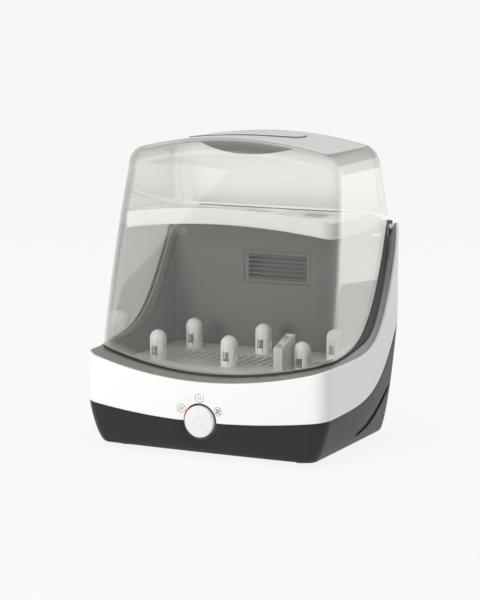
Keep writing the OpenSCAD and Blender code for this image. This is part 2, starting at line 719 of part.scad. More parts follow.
web_half = 88;
module hood_cap() color(white) difference() {
    union() {
        sheet(hood_grid(0), hood_grid(hood_wall), hood_cells(false));
        translate([-barrel_half, hinge_y, hinge_z]) rotate([0, 90, 0])
            cylinder(r = barrel_r, h = 2 * barrel_half);
        along_x(-web_half, 2 * web_half) polygon([
            [hinge_y, hinge_z], [hinge_y + barrel_r - 0.2, hinge_z], [hood_rear - 2.2, arm_z + 8.5],
            [hood_rear - 4, arm_z + 8.5]
        ]);
    }
    both_sides() translate([barrel_half - bush_len, hinge_y, hinge_z]) rotate([0, 90, 0])
        cylinder(r = hinge_bush_r, h = bush_len + 5);
}

// The seal leans with the hood's wall, so that it lifts clear of the lip behind it
function seal_ring(d, low) = [
    for (i = [0:n_plan - 1])
        let (z = hood_foot(i), y = plan_point(inset(hood_plan(z), d), i)[1], z2 = z - low * seal_h(y))
        [plan_point(inset(hood_plan(z2), d), i)[0], y, z2]
];
module hood_seal() color(rubber) sheet(
    [seal_ring(-0.3, 1), seal_ring(-0.3, 0)], [seal_ring(2.8, 1), seal_ring(2.8, 0)],
    [[for (i = [0:n_plan - 1]) in_front(i, rear_corner_i)]]);

function leaf(s) = [for (i = [0:n_plan - 1]) leaf_point(s, i)];
// Long drum along Y, fine enough that its chords follow the roof
module drum(r, z) translate([0, 200, z]) rotate([90, 0, 0]) cylinder(r = r, h = 400, $fn = 720);
// A layer of the roof's arch between two depths below the roof, cut to an outline
module arch_layer(top, bottom, points) intersection() {
    translate([0, 0, roof_z - 40]) linear_extrude(60) polygon(points);
    difference() {
        drum(roof_r - top, roof_z - roof_r);
        drum(roof_r - bottom, roof_z - roof_r);
    }
}
module vent_cap() color(white) arch_layer(-vent_proud, hood_wall, leaf(0.4));

// Steam box under the vent: a flange clipped to the roof, a neck that carries the
// cap, and a lens-shaped belly
belly_half_w = 68;
belly_half_d = 20.7;
belly_y = 22;
belly_drop = 19;
belly_r = 198;
flange_thick = 2;
function belly_point(i) =
    let (a = 180 * i / n_half)
    [belly_half_w * sin(a), belly_y - belly_half_d * cos(a) * abs(cos(a))];
module vent_housing() color(rubber) {
    arch_layer(hood_wall, hood_wall + 1, leaf(2.5));
    arch_layer(hood_wall + 0.4, hood_wall + 0.4 + flange_thick, leaf(-5));
    intersection() {
        translate([0, 0, roof_z - 40]) linear_extrude(60)
            polygon([for (i = [0:n_plan - 1]) belly_point(i)]);
        drum(roof_r - hood_wall - 0.4, roof_z - roof_r);
        drum(belly_r, roof_z - belly_drop + belly_r);
    }
}

// Upper tray: a skirt that arches up at the front, a floor with six openings, and
// a rear hook that hangs over the top of the liner's panel
tray_gap = 0.5;
tray_rear = panel_y - tray_gap;
tray_plan = [115, -46, tray_rear, 12, 18, 6];
tray_low_z = 214;
tray_high_z = 230;
tray_wall = 2.2;
tray_arch = 10;
tray_pitch = 70;
tray_row_y = -14;
tray_row_pitch = 61;
hook_half = 90;
hook_thick = 2;
hook_drop = 10;
hook_z = panel_top_z + fit_gap;
hook_y = panel_y + panel_thick + tray_gap;
function tray_lift(q) =
    tray_arch * (1 - pow(q[0] / tray_plan[0], 2)) * max(0, min(1, q[1] / tray_plan[1]));
function tray_ring(d, z) = [
    for (i = [0:n_plan - 1])
        at_z(plan_point(inset(tray_plan, d), i), z + tray_lift(plan_point(tray_plan, i)))
];
module upper_tray() color(white) {
    shell([for (z = [tray_low_z, tray_high_z]) tray_ring(0, z)],
          [for (z = [tray_low_z, tray_high_z]) tray_ring(tray_wall, z)]);
    translate([0, 0, tray_floor_z - 2.5]) linear_extrude(2.5) difference() {
        polygon(outline(inset(tray_plan, 1)));
        for (x = [-tray_pitch, 0, tray_pitch], y = [tray_row_y, tray_row_y + tray_row_pitch])
            translate([x, y]) circle(tray_hole_r);
    }
    translate([-hook_half, tray_rear - tray_wall, hook_z])
        cube([2 * hook_half, hook_y + hook_thick - tray_rear + tray_wall, hook_thick]);
    translate([-hook_half, hook_y, hook_z - hook_drop])
        cube([2 * hook_half, hook_thick, hook_drop + hook_thick]);
}

// Lower rack: a slotted plate on four legs, with six pegs clipped into it
rack_in = 10.4;
rack_thick = 3;
peg_row_y = -37;
slot_w = 3;
slot_pitch = 9;
module lower_rack() color([0.83, 0.82, 0.79]) {
    translate([0, 0, rack_z - rack_thick]) linear_extrude(rack_thick) difference() {
        polygon(outline(inset(chamber_plan(hood_foot_z), rack_in)));
        for (n = [-10:10]) translate([slot_pitch * n - slot_w / 2, -20]) square([slot_w, 46]);
    }
    for (x = [-96, 96], y = [-48, 52]) translate([x, y, floor_z + 0.5])
        cylinder(r = 4, h = rack_z - floor_z - 1);
}

window_w = 6;
window_h = 9;
module peg(n) color(white)
    translate([peg_pitch * ((n - 1) % 3 - 1), peg_row_y + peg_pitch * floor((n - 1) / 3), rack_z])
        difference() {
            union() {
                cylinder(r = peg_r, h = peg_h - peg_r);
                translate([0, 0, peg_h - peg_r]) sphere(r = peg_r);
            }
            translate([0, 0, -1]) cylinder(r = peg_r - 1.8, h = peg_h - peg_r + 1);
            for (a = [0, 90]) rotate([0, 0, a]) translate([-window_w / 2, -20, 6])
                cube([window_w, 40, window_h]);
            translate([0, 0, -peg_r]) cylinder(r = peg_r + 5, h = peg_r);
        }

// Small parts holder on the rack: a wedge with two sockets in its sloping top
holder_x = 60.6;
holder_w = 10;
holder_front_y = -63;
holder_len = 31;
module holder_profile() polygon([
    [holder_front_y, 0], [holder_front_y + holder_len, 0], [holder_front_y + holder_len, 37],
    [holder_front_y, 27]
]);
module parts_holder() color([0.86, 0.86, 0.84]) translate([0, 0, rack_z + fit_gap]) difference() {
    along_x(holder_x, holder_w) holder_profile();
    for (y = [7, 24]) translate([holder_x + holder_w / 2, holder_front_y + y, 14]) cylinder(r = 3.4, h = 40);
}

place() lower_shell();
place() base_band();
place() rim_trim();
place() chamber_liner();
place() base_plate();
place() rubber_feet();
place() base_screws();
place() standoffs();
place() heating_plate();
place() plate_seal();
place() heating_element();
place() thermostat();
place() dial_bezel();
place() light_ring();
place() encoder_body();
place() control_board();
place() power_board();
place() power_inlet();
place() fan_housing();
place() fan_motor();
place() air_heater();
place() air_duct();
place() air_grille();
place() side_vents();
place() hinge_brackets();
place() hinge_pins();
place() hood_shell();
place() hood_cap();
place() hood_seal();
place() vent_cap();
place() vent_housing();
place() hinge_bushes();
place() upper_tray();
place() lower_rack();
for (n = [1:6]) place() peg(n);
place() parts_holder();
place() press_collar();
place() encoder_shaft();
place() dial_knob();
place() fan_shaft();
place() fan_impeller();
place() filter_cover();
place() air_filter();
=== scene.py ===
import math

import bmesh
import bpy
import numpy as np
from mathutils import Matrix, Vector


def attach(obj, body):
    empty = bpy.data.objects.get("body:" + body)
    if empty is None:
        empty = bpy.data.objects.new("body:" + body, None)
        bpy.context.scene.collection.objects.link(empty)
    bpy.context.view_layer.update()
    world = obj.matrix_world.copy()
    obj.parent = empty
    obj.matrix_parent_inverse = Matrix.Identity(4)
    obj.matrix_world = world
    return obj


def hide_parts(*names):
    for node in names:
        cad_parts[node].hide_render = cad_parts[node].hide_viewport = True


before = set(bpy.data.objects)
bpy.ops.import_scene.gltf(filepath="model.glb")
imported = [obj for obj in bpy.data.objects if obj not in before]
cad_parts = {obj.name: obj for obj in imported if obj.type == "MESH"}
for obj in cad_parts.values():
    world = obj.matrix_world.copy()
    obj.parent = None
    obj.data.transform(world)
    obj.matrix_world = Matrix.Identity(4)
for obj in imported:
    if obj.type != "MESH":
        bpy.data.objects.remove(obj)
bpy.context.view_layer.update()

# ---------------------------------------------------------------- studio
# A pale seamless floor, a key lamp at the front left, a soft box overhead and a small fill
# inside the hood, two panels that only show as reflections in the clear hood, a weak strip
# at the right rear, and a camera with a long lens above the rim.
MM = 0.001
SET_BACK = 1.5
scene = bpy.context.scene
scene.view_settings.view_transform = "Standard"

camera_aim = Vector((-6, SET_BACK, 141.5)) * MM
camera_back = Vector((0.43297, -0.88772, 0.15643))
camera = bpy.data.objects.new("camera", bpy.data.cameras.new("camera"))
camera.data.sensor_width = 36
camera.data.lens = 134.7
camera.data.clip_start = 0.1
camera.data.clip_end = 200
camera.location = camera_aim + 2.266 * camera_back
camera.rotation_mode = "QUATERNION"
camera.rotation_quaternion = (-camera_back).to_track_quat("-Z", "Y")
scene.collection.objects.link(camera)
scene.camera = camera


class Wire:
    """One socket of a shader tree. Arithmetic on it adds Math nodes."""

    def __init__(self, tree, socket=None):
        self.tree = tree
        self.socket = socket

    def node(self, kind, settings={}, sockets={}, out=0):
        made = self.tree.nodes.new(kind)
        for name, value in settings.items():
            setattr(made, name, value)
        for key, value in sockets.items():
            if isinstance(value, Wire):
                self.tree.links.new(value.socket, made.inputs[key])
            else:
                made.inputs[key].default_value = value
        return Wire(self.tree, made.outputs[out]) if made.outputs else None

    def math(self, operation, first, second=0.0):
        return self.node("ShaderNodeMath", {"operation": operation}, {0: first, 1: second})

    def __add__(self, other):
        return self.math("ADD", self, other)

    def __sub__(self, other):
        return self.math("SUBTRACT", self, other)

    def __rsub__(self, other):
        return self.math("SUBTRACT", other, self)

    def __mul__(self, other):
        return self.math("MULTIPLY", self, other)

    def __truediv__(self, other):
        return self.math("DIVIDE", self, other)

    def __pow__(self, other):
        return self.math("POWER", self, other)

    __radd__ = __add__
    __rmul__ = __mul__

    def between(self, low, high):
        """0 below low, 1 above high, and a soft step from one to the other."""
        return self.node("ShaderNodeMapRange", {"interpolation_type": "SMOOTHSTEP"},
                         {"Value": self, "From Min": low, "From Max": high})

    def blend(self, low, high):
        """A colour between two, by this value."""
        return self.node("ShaderNodeMix", {"data_type": "RGBA"}, {0: self, 6: low, 7: high}, 2)


def shade(red, green, blue):
    """A colour as it shows on a screen, 0 to 255, as the shader wants it."""
    def light(v):
        v /= 255
        return v / 12.92 if v <= 0.04045 else ((v + 0.055) / 1.055) ** 2.4
    return (light(red), light(green), light(blue), 1.0)


def new_finish(name):
    finish = bpy.data.materials.new(name)
    finish.use_nodes = True
    finish.node_tree.nodes.clear()
    return finish, Wire(finish.node_tree)


floor_finish, w = new_finish("studio_floor")
seen = w.node("ShaderNodeLightPath", out="Is Camera Ray")
for ray in ("Is Glossy Ray", "Is Transmission Ray"):
    seen = w.math("MAXIMUM", seen, w.node("ShaderNodeLightPath", out=ray))
paper = w.node("ShaderNodeBsdfDiffuse", {}, {"Color": (0.86, 0.86, 0.86, 1)})
glow = w.node("ShaderNodeEmission", {}, {"Color": (0.99, 0.99, 0.99, 1), "Strength": 1.0})
w.node("ShaderNodeOutputMaterial", {}, {
    "Surface": w.node("ShaderNodeMixShader", {}, {0: seen * 0.88, 1: paper, 2: glow})})
floor_mesh = bpy.data.meshes.new("floor")
floor_mesh.from_pydata([(-60, -60, 0), (60, -60, 0), (60, 60, 0), (-60, 60, 0)], [], [(0, 1, 2, 3)])
floor_mesh.materials.append(floor_finish)
floor = bpy.data.objects.new("floor", floor_mesh)
scene.collection.objects.link(floor)

world = bpy.data.worlds.new("studio_light")
world.use_nodes = True
world.node_tree.nodes.clear()
w = Wire(world.node_tree)
w.node("ShaderNodeOutputWorld", {}, {"Surface": w.node("ShaderNodeBackground", {}, {
    "Color": (1.0, 1.0, 1.0, 1), "Strength": 0.52})})
scene.world = world


def softbox(name, place, along, face, width, height, level, diffuse=True, glossy=True):
    """A panel of even light; level is how bright it looks, where 1 is white."""
    lamp = bpy.data.lights.new(name, "AREA")
    lamp.shape = "RECTANGLE"
    lamp.size = width
    lamp.size_y = height
    lamp.energy = level * math.pi * width * height
    box = bpy.data.objects.new(name, lamp)
    back = -Vector(face).normalized()
    side = (Vector(along) - back * back.dot(Vector(along))).normalized()
    box.matrix_world = Matrix.Translation(place) @ Matrix(
        (side, back.cross(side), back)).transposed().to_4x4()
    box.visible_camera = False
    box.visible_diffuse = diffuse
    box.visible_glossy = glossy
    scene.collection.objects.link(box)


softbox("key_lamp", (-0.8, -2.0, 0.42), (1, -0.4, 0), (0.8, 2.0, -0.28), 0.9, 0.9, 8.6, glossy=False)
softbox("overhead", (0.1, -0.2, 1.9), (1, 0, 0), (0, 0, -1), 1.2, 1.2, 1.6, glossy=False)
softbox("veil_panel", (-1.13, -1.518, 0.79), (-0.811, 0.389, -0.436), (0.506, 0.841, -0.191),
        2.6, 0.5, 0.6, diffuse=False)
softbox("side_strip", (1.5, 1.3, 0.5), (-1.3, 1.5, 0), (-1.4, -1.25, -0.4), 1.2, 0.9, 0.4)
softbox("side_panel", (0.72, 1.2, 0.3), (-0.9, 0.44, 0), (-0.44, -0.9, -0.1), 1.0, 0.58, 0.42,
        diffuse=False)
softbox("hood_fill", (0, -0.04, 0.272), (1, 0, 0), (0, 1, 0), 0.2, 0.05, 1.7, glossy=False)

# ---------------------------------------------------------------- lower shell
# The charcoal foot of the base: one injection-moulded polypropylene shell, drawn in
# towards the counter, with a crescent air inlet in each side and a fine spark texture.
PLAN_STEPS = (21, 12, 48, 12, 10)
REAR = len(PLAN_STEPS) - 1
run = np.append(np.repeat(np.arange(len(PLAN_STEPS)), PLAN_STEPS), REAR)
way = np.append(np.concatenate([np.arange(n) / n for n in PLAN_STEPS]), 1.0)
HALF = len(run) - 1
order = np.append(np.arange(HALF + 1), np.arange(HALF - 1, 0, -1))
AROUND = len(order)
run, way = run[order], way[order]
hand = np.where(np.arange(AROUND) <= HALF, 1.0, -1.0)


def outline(plan):
    """Points round a plan: half width, front, rear, front radius, rear radius, bow."""
    hw, yf, yr, rf, rr, bow = (np.broadcast_to(v, AROUND) for v in plan)
    turn = way * math.pi / 2
    x = np.choose(run, [(hw - rf) * way, hw - rf + rf * np.sin(turn), hw,
                        hw - rr + rr * np.cos(turn), (hw - rr) * (1 - way)])
    y = np.choose(run, [yf, yf + rf - rf * np.cos(turn), yf + rf + (yr - rr - yf - rf) * way,
                        yr - rr + rr * np.sin(turn), yr])
    y = y - bow * (1 - (x / hw) ** 2) * np.clip(y / yf, 0, 1)
    return np.column_stack([hand * x, y])


def inset(plan, d):
    return [plan[0] - d, plan[1] + d, plan[2] - d, np.maximum(plan[3] - d, 4),
            np.maximum(plan[4] - d, 4), plan[5]]


def mix(a, b, t):
    return a + (b - a) * t


def at_height(points, z):
    return np.column_stack([points, np.broadcast_to(z, len(points))])


def swept(level, rise, start, slope, soft, q):
    """A level edge that lifts to the sides and turns up into a slope at the rear."""
    return level + rise * q[:, 0] ** 2 + slope * soft * np.log1p(np.exp((q[:, 1] - start) / soft))


def sheet(outer, inner, keep=None):
    """A closed wall between two grids of rings. keep says which cells are there."""
    rows = len(outer)
    keep = np.ones((rows - 1, AROUND), bool) if keep is None else keep
    back = rows * AROUND
    there = np.zeros((rows + 1, AROUND), bool)
    there[1:rows] = keep
    faces = []
    for k, i in zip(*np.nonzero(keep)):
        j = (i + 1) % AROUND
        a, b = int(k * AROUND + i), int(k * AROUND + j)
        c, d = a + AROUND, b + AROUND
        faces += [(a, b, d, c), (back + a, back + c, back + d, back + b)]
        if not there[k, i]:
            faces.append((a, back + a, back + b, b))
        if not there[k + 2, i]:
            faces.append((c, d, back + d, back + c))
        if not there[k + 1, i - 1]:
            faces.append((a, c, back + c, back + a))
        if not there[k + 1, j]:
            faces.append((b, back + b, back + d, d))
    return np.concatenate([np.concatenate(outer), np.concatenate(inner)]), faces


def prism(corners, axis, low, high):
    """A straight block of an outline drawn across an axis: 0 is X, 1 is Y, 2 is Z."""
    n = len(corners)
    spots = [np.insert(np.asarray(c, float), axis, end) for end in (low, high) for c in corners]
    faces = [tuple(range(n)), tuple(range(n, 2 * n))]
    faces += [(i, (i + 1) % n, n + (i + 1) % n, n + i) for i in range(n)]
    return np.array(spots), faces


def circle(x, y, r, steps=96):
    turn = np.arange(steps) * 2 * math.pi / steps
    return np.column_stack([x + r * np.cos(turn), y + r * np.sin(turn)])


def box(x0, x1, y0, y1):
    return [(x0, y0), (x1, y0), (x1, y1), (x0, y1)]


def blank(name, *shapes):
    """One mesh object from shapes of points and faces, in millimetres, in the part's frame."""
    points, faces = [], []
    for spots, sides in shapes:
        faces += [tuple(len(points) + i for i in side) for side in sides]
        points += ((np.asarray(spots) + (0, SET_BACK, 0)) * MM).tolist()
    mesh = bpy.data.meshes.new(name)
    mesh.from_pydata(points, [], faces)
    bm = bmesh.new()
    bm.from_mesh(mesh)
    bmesh.ops.delete(bm, geom=[v for v in bm.verts if not v.link_faces], context="VERTS")
    bmesh.ops.remove_doubles(bm, verts=bm.verts, dist=2e-6)
    bmesh.ops.recalc_face_normals(bm, faces=bm.faces)
    bm.to_mesh(mesh)
    bm.free()
    made = bpy.data.objects.new(name, mesh)
    scene.collection.objects.link(made)
    return made


def baked(piece):
    """Turns what a piece's modifiers show into its plain mesh."""
    shown = piece.evaluated_get(bpy.context.evaluated_depsgraph_get())
    made = bpy.data.meshes.new_from_object(shown)
    piece.modifiers.clear()
    piece.data = made


def settle(piece, body, finish, nodes=(), cuts=(), edge=0.0, smooth=38):
    """Cuts, rounds and paints a piece, and hangs it on its body."""
    tools = [blank("cut", shape) for shape in cuts]
    for tool in tools:
        cut = piece.modifiers.new("cut", "BOOLEAN")
        cut.object = tool
        cut.operation = "DIFFERENCE"
        cut.solver = "EXACT"
    if edge:
        rounding = piece.modifiers.new("edge", "BEVEL")
        rounding.width = edge * MM
        rounding.segments = 2
        rounding.limit_method = "ANGLE"
        rounding.angle_limit = math.radians(smooth)
    if piece.modifiers:
        baked(piece)
    for tool in tools:
        bpy.data.objects.remove(tool)
    piece.data.name = piece.name
    piece.data.shade_smooth()
    piece.data.set_sharp_from_angle(angle=math.radians(smooth))
    piece.data.materials.clear()
    piece.data.materials.append(finish)
    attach(piece, body)
    if nodes:
        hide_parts(*nodes)
    return piece


def dress(finish, *nodes):
    """Gives machined pieces that keep their solids a finish."""
    for name in nodes:
        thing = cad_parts[name]
        if not thing.material_slots:
            thing.data.materials.append(finish)
        for place in thing.material_slots:
            place.material = finish


def moulded(name, colour, rough, grain=0.6, relief=0.012, mottle=0.05, coat=0.0, mark=None, shine=0.5):
    """Moulded plastic: a spark-eroded grain in millimetres, and slow changes of sheen."""
    finish, w = new_finish(name)
    place = w.node("ShaderNodeTexCoord", out="Object")
    cloud = w.node("ShaderNodeTexNoise", {}, {"Vector": place, "Scale": 24.0, "Detail": 3.0})
    spark = w.node("ShaderNodeTexNoise", {}, {"Vector": place, "Scale": 1000 / grain, "Detail": 2.0})
    tint = cloud.blend(tuple(c * (1 - mottle) for c in colour[:3]) + (1.0,),
                       tuple(min(1.0, c * (1 + mottle)) for c in colour[:3]) + (1.0,))
    if mark:
        tint = mark(w, place, tint)
    bump = w.node("ShaderNodeBump", {}, {"Height": spark, "Strength": 0.6, "Distance": relief * MM})
    body = w.node("ShaderNodeBsdfPrincipled", {}, {
        "Base Color": tint, "Roughness": rough + 0.14 * (cloud - 0.5) + 0.06 * (spark - 0.5),
        "Normal": bump, "Specular IOR Level": shine, "Coat Weight": coat, "Coat Roughness": 0.08})
    w.node("ShaderNodeOutputMaterial", {}, {"Surface": body})
    return finish


WALL = 2.5
FOOT = 3.5
FACE = -103.0
base_plan = [132, -97, 103, 14, 25, 6]
base_line = outline(base_plan)


SEAM_Z = 36
SEAM_RISE = 0.00058


def seam_edge(q):
    return np.minimum(swept(SEAM_Z, SEAM_RISE, 52, 2, 24, q), 132)


def bilge(t):
    return 1 - np.sqrt(1 - (1 - t) ** 2)


def lower_plan(t):
    drawn, taper = bilge(t), (1 - t + bilge(t)) / 2
    return [mix(132, 115, taper), mix(-97, -91, drawn), mix(103, 94, taper), mix(14, 10, taper),
            mix(25, 20, taper), mix(6, 1.5, drawn)]


def lower_ring(t, d):
    return at_height(outline(inset(lower_plan(t), d)), mix(FOOT, seam_edge(base_line), t))


u = np.linspace(0, 1, 40)
mid_y, mid_z = -2 + 79 * u, 17.5 + 10 * u + 26 * u * u
half_h = 7.5 * np.minimum(1, 0.55 + 1.1 * u) * (1 - u) ** 0.45 + 0.3
crescent = np.concatenate([np.column_stack([mid_y, mid_z - half_h]),
                           np.column_stack([mid_y, mid_z + half_h])[::-1]])

DIAL_Z = 36.5
DISH_R = 27.0
charcoal = moulded("charcoal_shell", shade(35, 36, 36), 0.42, 0.7, 0.02, 0.08, shine=0.35)
levels = np.linspace(0, 1, 16) ** 2
lower = blank("lower_shell_skin", sheet([lower_ring(t, 0) for t in levels],
                                        [lower_ring(t, WALL) for t in levels]))
settle(lower, "base", charcoal, ["lower_shell"], [
    prism(circle(0, DIAL_Z, DISH_R), 1, FACE - 8, FACE + 20),
    prism(crescent, 0, 100, 145), prism(crescent, 0, -145, -100),
    prism(box(-36, 36, 66, 122), 1, 78, 120), prism(box(72, 96, 24, 40), 1, 78, 120)], 0.35)

# ---------------------------------------------------------------- vents, plate and feet
# Grey inserts close the crescents a little way in. The base plate closes the shell from
# below with four screws into posts, and four pale rubber feet are pressed into it.
black = moulded("black_insert", shade(34, 34, 35), 0.5, 0.8, 0.015, 0.08)
rubber = moulded("black_silicone", shade(50, 50, 50), 0.55, 0.9, 0.01, 0.06)
dark_grey = moulded("dark_grey_tub", shade(112, 112, 110), 0.45, 0.8, 0.015, 0.05)
vent_grey = moulded("grey_insert", shade(78, 78, 78), 0.5, 0.8, 0.015, 0.06)
pale_rubber = moulded("pale_rubber", shade(150, 150, 148), 0.6, 0.9, 0.01, 0.05)
dress(vent_grey, "side_vents")
dress(black, "power_inlet", "thermostat")
dress(charcoal, "base_plate")
dress(pale_rubber, "rubber_feet")
dress(rubber, "plate_seal")
dress(dark_grey, "standoffs")

# ---------------------------------------------------------------- boiler
# A pressed stainless dish with a tube heater clamped under it, and a thermostat. The
# steel is brushed in one direction and a little clouded by heat.


def metal(name, colour, rough, stretch):
    finish, w = new_finish(name)
    place = w.node("ShaderNodeTexCoord", out="Object")
    lines = w.node("ShaderNodeMapping", {}, {"Vector": place, "Scale": stretch})
    brush = w.node("ShaderNodeTexNoise", {}, {"Vector": lines, "Scale": 900.0, "Detail": 2.0})
    cloud = w.node("ShaderNodeTexNoise", {}, {"Vector": place, "Scale": 30.0, "Detail": 3.0})
    bump = w.node("ShaderNodeBump", {}, {"Height": brush, "Strength": 0.5, "Distance": 0.00001})
    body = w.node("ShaderNodeBsdfPrincipled", {}, {
        "Base Color": cloud.blend(tuple(0.86 * c for c in colour[:3]) + (1.0,), colour),
        "Roughness": rough + 0.15 * (brush - 0.5), "Metallic": 1.0, "Normal": bump})
    w.node("ShaderNodeOutputMaterial", {}, {"Surface": body})
    return finish


steel = metal("brushed_steel", shade(196, 196, 198), 0.3, (1.0, 0.05, 1.0))
nickel = metal("nickel_plate", shade(176, 174, 170), 0.36, (1.0, 1.0, 0.2))
dress(steel, "heating_plate")
dress(nickel, "base_screws", "heating_element")

# ---------------------------------------------------------------- white band
# The white upper half of the base, one glossy ABS moulding that sweeps up at the rear
# into two arms. Its edge is rounded over to the rim, and it snaps on the lower shell.


def arm_top(y):
    return 220.5 - 0.052 * np.maximum(0, y - 84) ** 2


def rim_edge(q):
    return np.minimum(swept(75.5, 0.00114, 51, 3, 17, q), arm_top(q[:, 1]))


def band_ring(t, d, drop):
    return at_height(outline(inset(base_plan, d)),
                     mix(seam_edge(base_line), rim_edge(base_line) - drop, t))


white = moulded("white_band", shade(247, 247, 246), 0.24, 0.5, 0.004, 0.012, 0.25)
band_steps = [(t, 0, 2.0) for t in np.linspace(0, 1, 12)]
band_steps += [(1, 1.2 * (1 - math.cos(a)), 2.0 * (1 - math.sin(a)))
               for a in np.radians([22.5, 45, 67.5, 90])]
band = blank("base_band_skin", sheet([band_ring(*step) for step in band_steps],
                                     [band_ring(t, WALL, drop) for t, d, drop in band_steps]))
settle(band, "base", white, ["base_band"],
       [prism(circle(0, DIAL_Z, DISH_R), 1, FACE - 8, FACE + 20)], 0.3)

# ---------------------------------------------------------------- dial dish
# A shallow dish pressed into the front round the dial, half in the white band and half
# in the charcoal shell, so that two fingers can reach the knob. Same plastics.
DISH_DEEP = 1.3
DISH_SLOPE = 7.6


def front_y(x, z):
    """The front wall of the band or of the lower shell, near the middle."""
    seam = SEAM_Z + SEAM_RISE * x * x
    plan = lower_plan(np.clip((z - FOOT) / (seam - FOOT), 0, 1))
    return plan[1] - plan[5] * (1 - (x / plan[0]) ** 2)


def dish_y(x, z):
    """The same wall with the dish pressed into it."""
    s = np.clip((DISH_R - np.hypot(x, z - DIAL_Z)) / DISH_SLOPE, 0, 1)
    return front_y(x, z) + DISH_DEEP * s * s * (3 - 2 * s)


def dish_half(upper, inner_r):
    rings, turns = 12, 72
    front = []
    for r in np.linspace(DISH_R - 0.05, inner_r, rings):
        tilt = math.asin((SEAM_Z - DIAL_Z + SEAM_RISE * r * r) / r)
        ends = (tilt, math.pi - tilt) if upper else (math.pi - tilt, 2 * math.pi + tilt)
        turn = np.linspace(*ends, turns)
        x, z = r * np.cos(turn), DIAL_Z + r * np.sin(turn)
        front.append(np.column_stack([x, dish_y(x, z), z]))
    front = np.concatenate(front)
    back = rings * turns
    faces = []
    for k in range(rings - 1):
        for i in range(turns - 1):
            a = k * turns + i
            faces += [(a, a + 1, a + turns + 1, a + turns),
                      (back + a, back + a + turns, back + a + turns + 1, back + a + 1)]
    loop = list(range(turns)) + [k * turns + turns - 1 for k in range(1, rings)]
    loop += [(rings - 1) * turns + i for i in range(turns - 2, -1, -1)]
    loop += [k * turns for k in range(rings - 2, 0, -1)]
    faces += [(a, back + a, back + b, b) for a, b in zip(loop, loop[1:] + loop[:1])]
    return np.concatenate([front, front + (0, 0.5, 0)]), faces


settle(blank("dial_dish_upper", dish_half(True, 17.9)), "base", white, edge=0.08)
settle(blank("dial_dish_lower", dish_half(False, 19.4)), "base", charcoal, edge=0.08)

# ---------------------------------------------------------------- printed marks
# Three programme marks pad-printed in grey round the dial: steam, steam then dry, and
# dry. Thin ink on the dish.


def ink_line(path, width, closed=False):
    """A flat line of ink along a path of x and z on the dish."""
    path = np.asarray(path, float)
    n = len(path)
    if closed:
        ahead = np.roll(path, -1, 0) - np.roll(path, 1, 0)
    else:
        ahead = np.gradient(path, axis=0)
    ahead /= np.linalg.norm(ahead, axis=1)[:, None]
    off = np.column_stack([-ahead[:, 1], ahead[:, 0]]) * np.broadcast_to(width, n)[:, None] / 2
    spots = []
    for lift in (-0.05, 0.06):
        for q in (path + off, path - off):
            spots.append(np.column_stack([q[:, 0], dish_y(q[:, 0], q[:, 1]) + lift, q[:, 1]]))
    faces = []
    for i in range(n if closed else n - 1):
        j = (i + 1) % n
        ring = [(0, 1), (1, 3), (3, 2), (2, 0)]
        faces += [(a * n + i, b * n + i, b * n + j, a * n + j) for a, b in ring]
    if not closed:
        faces += [(0, n, 3 * n, 2 * n), (n - 1, 2 * n - 1, 4 * n - 1, 3 * n - 1)]
    return np.concatenate(spots), faces


def ring_path(x, z, r, start=0, end=360, steps=40):
    a = np.radians(np.linspace(start, end, steps))
    return np.column_stack([x + r * np.cos(a), z + r * np.sin(a)])


ink = moulded("grey_ink", shade(90, 90, 90), 0.5, 0.3, 0.001, 0.05)
dark_ink = moulded("dark_ink", shade(36, 36, 36), 0.5, 0.3, 0.001, 0.05)
MARK_R, MARK_LINE = 4.3, 0.42
spots = [(23 * math.cos(a), DIAL_Z + 23 * math.sin(a)) for a in np.radians([150, 90, 30])]
marks = []
sx, sz = spots[0]
marks.append(ink_line(ring_path(sx, sz, MARK_R)[:-1], MARK_LINE, True))
t = np.linspace(-1, 1, 17)
for dx in (-1.5, 0, 1.5):
    marks.append(ink_line(np.column_stack([sx + dx + 0.4 * np.sin(t * math.pi), sz + 2.1 * t]), 0.4))
sx, sz = spots[1]
marks.append(ink_line(ring_path(sx, sz, MARK_R, 62, 385), MARK_LINE))
marks.append(ink_line([(sx + 3.0, sz + 1.9), (sx + 3.9, sz + 1.85), (sx + 4.6, sz + 2.6)], 0.5))
for dx in (-0.9, 0.9):
    marks.append(ink_line(np.column_stack([sx + dx + 0.35 * np.sin(t * math.pi), sz + 1.7 * t]), 0.4))
sx, sz = spots[2]
blades = [ink_line(ring_path(sx, sz, MARK_R)[:-1], MARK_LINE, True)]
for k in range(4):
    s = np.linspace(0, 1, 9)
    r, a = 0.5 + 2.6 * s, math.radians(90 * k) + 0.9 * s
    blades.append(ink_line(np.column_stack([sx + r * np.cos(a), sz + r * np.sin(a)]),
                           0.25 + 1.15 * np.sin(math.pi * np.clip(s, 0, 0.9)) ** 0.8))
settle(blank("dial_marks", *marks), "base", ink, smooth=60)
settle(blank("dial_fan_mark", *blades), "base", dark_ink, smooth=60)

# ---------------------------------------------------------------- dial
# The selector: a white ABS knob, turned to choose and pressed to start, stands in a well
# with a black bezel and a clear sleeve whose lit part glows red. An encoder carries it.


def lathe(profile, axis, middle, steps=96):
    """A turned solid from points of radius and place along an axis through a middle."""
    points = np.concatenate([np.insert(circle(*middle, r, steps), axis, along, axis=1)
                             for r, along in profile])
    faces = [(k * steps + i, k * steps + (i + 1) % steps, (k + 1) * steps + (i + 1) % steps,
              (k + 1) * steps + i) for k in range(len(profile) - 1) for i in range(steps)
             if profile[k][0] + profile[k + 1][0] > 1e-6]
    return points, faces


def from_dial(w, place):
    """Distances across and up from the dial's axis, and the radius."""
    across = w.node("ShaderNodeSeparateXYZ", {}, {0: place}, 0)
    up = w.node("ShaderNodeSeparateXYZ", {}, {0: place}, 2) - DIAL_Z * MM
    return across, up, (across * across + up * up) ** 0.5


